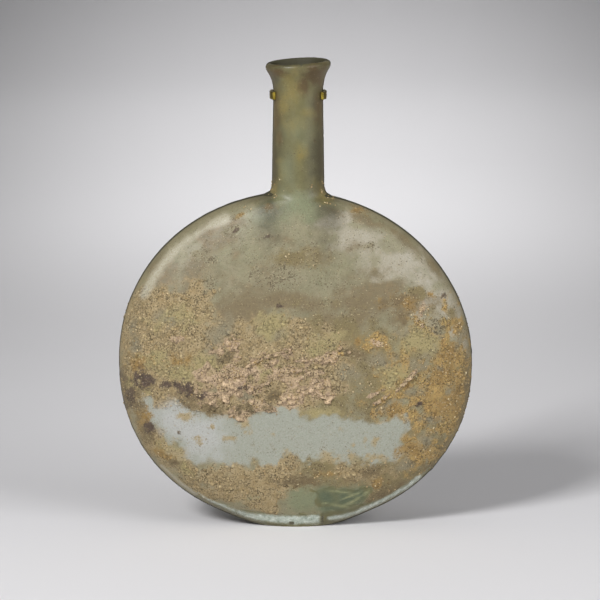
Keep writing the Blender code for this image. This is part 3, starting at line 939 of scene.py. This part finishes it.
# Crust that stands on the front as packed grains: the stretch of the face that it covers, the
# mesh's spacing, the grains' height and size, and the share of them that lie there
crusts = {
    "pink_crust": {
        "kind": "pinkCrust", "stretch": (-76, 76, 60, 132), "spacing": 0.34, "thickness": 1.9,
        "lump": 2.5, "cover": 0.78, "clump": (5, 2.4),
    },
    "tan_grit": {
        "kind": "tanGrit", "stretch": (-93, 32, 58, 140), "spacing": 0.4, "thickness": 1, "lump": 1.6,
        "cover": 0.55, "clump": (9, 3),
    },
    "low_grit": {
        "kind": "tanGrit", "stretch": (-86, 72, 8, 58), "spacing": 0.42, "thickness": 0.9, "lump": 1.6,
        "cover": 0.45, "clump": (8, 3),
    },
    "ochre_grit": {
        "kind": "ochre", "stretch": (20, 93, 34, 128), "spacing": 0.4, "thickness": 1, "lump": 1.6,
        "cover": 0.5, "clump": (8, 3),
    },
}
keepOff = {"pinkCrust": (0.3, 0.5), "paleBand": (0.4, 0.6)}  # where grit stays off, as masks
# How the large and small grains add up, how deep they are sunk, how much higher a ridge is, how
# thick the sheet is under them, and how bright they are painted: at least, by height as painted shade and
# light, and by each grain's own tone
crustBuild = {
    "large": 0.8, "small": 0.25, "sunk": 0.08, "ridge": 0.4, "ridgeWidth": (0.4, 1.3), "depth": 0.5,
    "grainToneAndShade": (0.12, 0.85, 0.4),
}


def finer(grid, rows, columns):
    # the same sheet of points with more rows and columns
    for axis, count in ((0, rows), (1, columns)):
        at = np.linspace(0, grid.shape[axis] - 1, count)
        first = np.minimum(at.astype(int), grid.shape[axis] - 2)
        share = (at - first).reshape([-1 if a == axis else 1 for a in range(3)])
        grid = np.take(grid, first, axis) * (1 - share) + np.take(grid, first + 1, axis) * share
    return grid


def makeCrust(name, skin, material):
    crust = crusts[name]
    left, right, bottom, top = crust["stretch"]
    smooth, placed, normals = skin
    front = bottleForm["frontColumns"]
    wide = smooth[np.argmax(smooth[:, 0, 0] < smooth[:, 0, 0].min() + 0.1)]
    columns = [c for c in range(front) if left < wide[c, 0] < right]
    middle = smooth[:, front // 2, 2]
    rows = [r for r in range(len(smooth)) if bottom < middle[r] < top]
    block = slice(rows[0], rows[-1] + 1), slice(columns[0], columns[-1] + 1)
    across, up = int((right - left) / crust["spacing"]), int((top - bottom) / crust["spacing"])
    base, under, out = (finer(grid[block], up, across) for grid in (smooth, placed, normals))
    shape = base.shape[:2]
    points, out = base.reshape(-1, 3), out.reshape(-1, 3)
    fields = weatherFields(points)
    seed = 500 + 20 * list(crusts).index(name)
    size, amount = crust["clump"]
    clumps = np.clip(0.5 + amount * (cloud(points, size, seed, 2) - 0.5), 0, 1)
    cover = crust["cover"] * smoothStep(*maskEdge, fields[crust["kind"]]) * (0.25 + 0.75 * clumps)
    if crust["kind"] != "pinkCrust":
        for other, mask in keepOff.items():
            cover = cover * (1 - smoothStep(*mask, fields[other]))
    x, z, front = seenPlace(points)
    build = crustBuild
    away = np.min([lineDistance(line, x, z) for line in ridges], axis=0)
    ridge = 1 - smoothStep(*build["ridgeWidth"], away)
    cover = np.maximum(cover, ridge)
    warp = np.stack([cloud(points, 0.6 * crust["lump"], seed + k, 2) - 0.5 for k in (3, 5, 7)], axis=-1)
    packed = points + 0.5 * crust["lump"] * warp
    big, shade = grains(packed, crust["lump"], seed + 9, cover)
    small = grains(packed, 0.5 * crust["lump"], seed + 29, 0.8 * cover)[0]
    mass = build["large"] * big + build["small"] * small
    height = crust["thickness"] * mass * (1 + build["ridge"] * ridge) - build["sunk"]
    shown = (height > 0).reshape(shape)
    cells = shown[:-1, :-1] | shown[1:, :-1] | shown[:-1, 1:] | shown[1:, 1:]
    topPoints = under.reshape(-1, 3) + out * height[:, None]
    count = len(points)
    number = np.arange(count).reshape(shape)
    corners = [number[:-1, :-1], number[:-1, 1:], number[1:, 1:], number[1:, :-1]]
    quads = np.stack([c[cells] for c in corners], axis=-1)
    walls = []
    padded = np.pad(cells, 1)
    sides = [((0, 1), padded[:-2, 1:-1]), ((1, 2), padded[1:-1, 2:]),
             ((2, 3), padded[2:, 1:-1]), ((3, 0), padded[1:-1, :-2])]
    for (a, b), beside in sides:
        edge = cells & ~beside
        a, b = corners[a][edge], corners[b][edge]
        walls.append(np.stack([b, a, a + count, b + count], axis=-1))
    everything = np.vstack([quads, quads[:, ::-1] + count, *walls])
    used, renamed = np.unique(everything, return_inverse=True)
    vertices = np.vstack([topPoints, topPoints - out * build["depth"]])[used]
    faces = renamed.reshape(everything.shape).tolist()
    piece = newPiece(name, vertices * mm, faces, material)
    fields[crust["kind"]] = np.maximum(fields[crust["kind"]], 0.9)
    # painted shade on the low crust and painted light on the grains' tops, with each grain's own tone
    least, byHeight, byGrain = build["grainToneAndShade"]
    fields["grainToneAndShade"] = np.clip(least + byHeight * mass + byGrain * (shade - 0.5), 0, 1)
    addFields(piece, {key: np.tile(field, 2)[used] for key, field in fields.items()})
    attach(piece, "root")
    print(name + ":", len(faces), "faces")
    return piece


# Loose crumbs of the burial soil that stick to the skin, thickest where the crust is
crumbs = {
    "perSquareMetre": 300000.0, "smallest": 0.26, "largest": 0.62, "flatness": 0.65, "seed": 7,
    "colours": ("#b49d78", "#8d774f", "#cfc09c"), "grain": 1.6,
    "share": {"pinkCrust": 1, "tanGrit": 0.3, "ochre": 0.4, "rust": 0.6, "oliveGrit": 0.22},
    "clump": (8, 4), "lumps": (3, 1.4),
    "places": [
        (-12.5, 188.5, 4, 6, 30), (15, 184.5, 6.5, 6, -30), (20, 179, 5, 3), (-27, 177, 3, 2),
        (66.5, 120, 5.5, 4),
    ],
}


def crumbField(points, fields):
    # how thickly the crumbs lie, from 0 to 1
    lying = np.zeros(len(points))
    for name, share in crumbs["share"].items():
        lying = np.maximum(lying, share * smoothStep(0.45, 0.7, fields[name]))
    size, amount = crumbs["clump"]
    clumps = np.clip(0.5 + amount * (cloud(points, size, 700, 2) - 0.5), 0, 1)
    x, z, front = seenPlace(points)
    extra = patchField(crumbs, x, z, points, 720)
    extra = np.where(front, smoothStep(0.5, 0.9, extra), 0)
    bare = smoothStep(*keepOff["paleBand"], fields["paleBand"])
    return np.maximum(lying * clumps * (1 - bare), extra)


def soilCrumbs():
    # dry burial soil: pale matt crumbs that catch the light, each a little different
    material, shader, add = newMaterial("dry soil crumbs")
    place = add("TexCoord").outputs["Object"]
    noise = add("TexNoise", {"Vector": place, "Scale": 1 / (crumbs["grain"] * mm), "Detail": 1})
    split = add("SeparateColor", {"Color": noise.outputs["Color"]})
    first, second, pale = (toLinear(c) for c in crumbs["colours"])
    shift = add("MapRange", {0: split.outputs[0], 1: 0.35, 2: 0.65})
    colour = add("Mix", {0: shift, 6: first, 7: second}, data_type="RGBA")
    light = add("MapRange", {0: split.outputs[1], 1: 0.52, 2: 0.7})
    colour = add("Mix", {0: light, 6: colour, 7: pale}, data_type="RGBA")
    plug(shader, {"Base Color": colour, "Roughness": 0.9, "Specular IOR Level": 0.3})
    return material


def crumbTree():
    # points over a surface by its "crumbs" attribute, with a small squashed stone on each
    tree = bpy.data.node_groups.new("scattered crumbs", "GeometryNodeTree")
    face = tree.interface
    face.new_socket("Geometry", in_out="INPUT", socket_type="NodeSocketGeometry")
    for name, kind in (("Crumbs per square metre", "Float"), ("Smallest radius", "Float"),
                       ("Largest radius", "Float"), ("Flatness", "Float"), ("Seed", "Int"),
                       ("Material", "Material")):
        face.new_socket(name, in_out="INPUT", socket_type="NodeSocket" + kind)
    face.new_socket("Geometry", in_out="OUTPUT", socket_type="NodeSocketGeometry")
    add = partial(addNode, tree)
    given = add("NodeGroupInput").outputs
    lying = add("GeometryNodeInputNamedAttribute", {"Name": "crumbs"}, data_type="FLOAT")
    density = add("Math", {0: given["Crumbs per square metre"], 1: lying}, operation="MULTIPLY")
    points = add("GeometryNodeDistributePointsOnFaces",
                 {"Mesh": given["Geometry"], "Density": density, "Seed": given["Seed"]})
    stone = add("GeometryNodeMeshIcoSphere", {"Radius": 1, "Subdivisions": 1})
    turn = add("FunctionNodeRandomValue",
               {0: (-0.5, -0.5, 0), 1: (0.5, 0.5, 2 * math.pi), "Seed": given["Seed"]},
               data_type="FLOAT_VECTOR")
    tilt = add("FunctionNodeEulerToRotation", {0: turn})
    lean = add("FunctionNodeRotateRotation", {0: points.outputs["Rotation"], 1: tilt},
               rotation_space="LOCAL")
    size = add("FunctionNodeRandomValue",
               {2: given["Smallest radius"], 3: given["Largest radius"], "Seed": given["Seed"]},
               data_type="FLOAT")
    thick = add("Math", {0: size, 1: given["Flatness"]}, operation="MULTIPLY")
    scale = add("CombineXYZ", {0: size, 1: size, 2: thick})
    stones = add("GeometryNodeInstanceOnPoints",
                 {"Points": points, "Instance": stone, "Rotation": lean, "Scale": scale})
    real = add("GeometryNodeRealizeInstances", {"Geometry": stones})
    painted = add("GeometryNodeSetMaterial", {"Geometry": real, "Material": given["Material"]})
    add("NodeGroupOutput", {"Geometry": painted})
    return tree


def makeCrumbs(name, ground, tree, material, seed):
    bed = newObject(name + "_bed", ground.data)
    scatter = bed.modifiers.new("scatter", "NODES")
    scatter.node_group = tree
    values = {
        "Crumbs per square metre": crumbs["perSquareMetre"],
        "Smallest radius": crumbs["smallest"] * mm,
        "Largest radius": crumbs["largest"] * mm,
        "Flatness": crumbs["flatness"],
        "Seed": seed,
        "Material": material,
    }
    for item in tree.interface.items_tree:
        if item.in_out == "INPUT" and item.name in values:
            scatter[item.identifier] = values[item.name]
    made = bed.evaluated_get(bpy.context.evaluated_depsgraph_get())
    mesh = bpy.data.meshes.new_from_object(made)
    bpy.data.objects.remove(bed)
    mesh.name = name
    mesh.materials.clear()
    mesh.materials.append(material)
    piece = newObject(name, mesh)
    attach(piece, "root")
    print(name + ":", len(mesh.polygons), "faces")


# Satin brass of the display mount, dulled by handling
brassLook = {
    "clean": "#b09c42", "dull": "#6b5c2a", "patch": 6, "brushed": 0.25, "roughness": (0.28, 0.5),
    "scratches": 0.05,
}


def tarnishedBrass():
    # drawn and filed brass: a warm metal glint with brown dulled patches
    look = brassLook
    material, shader, add = newMaterial("tarnished brass")
    place = add("TexCoord").outputs["Object"]
    patches = add("TexNoise", {"Vector": place, "Scale": 1 / (look["patch"] * mm), "Detail": 5})
    amount = add("MapRange", {0: patches, 1: 0.42, 2: 0.66})
    clean, dull = toLinear(look["clean"]), toLinear(look["dull"])
    colour = add("Mix", {0: amount, 6: clean, 7: dull}, data_type="RGBA")
    low, high = look["roughness"]
    rough = add("MapRange", {0: amount, 3: low, 4: high})
    lines = add("TexNoise", {"Vector": place, "Scale": 1 / (look["brushed"] * mm), "Detail": 2})
    bump = add("Bump", {"Strength": 0.3, "Distance": look["scratches"] * mm, "Height": lines})
    plug(shader, {"Base Color": colour, "Roughness": rough, "Normal": bump, "Metallic": 1})
    return material


def dressMount(material):
    for name in ("neck_clip", "stand_rod", "stand_foot"):
        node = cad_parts[name]
        node.data.materials.clear()
        node.data.materials.append(material)


print("camera and studio")
makeCamera()
makeCove()
makeLights()
print("bottle")
glass = weatheredGlass()
bottle, skin = makeBottle(glass)
print("crust")
made = {name: makeCrust(name, skin, glass) for name in crusts}
print("crumbs")
scatter, soil = crumbTree(), soilCrumbs()
makeCrumbs("soil_crumbs", bottle, scatter, soil, crumbs["seed"])
makeCrumbs("crust_crumbs", made["pink_crust"], scatter, soil, crumbs["seed"] + 1)
print("mount")
dressMount(tarnishedBrass())
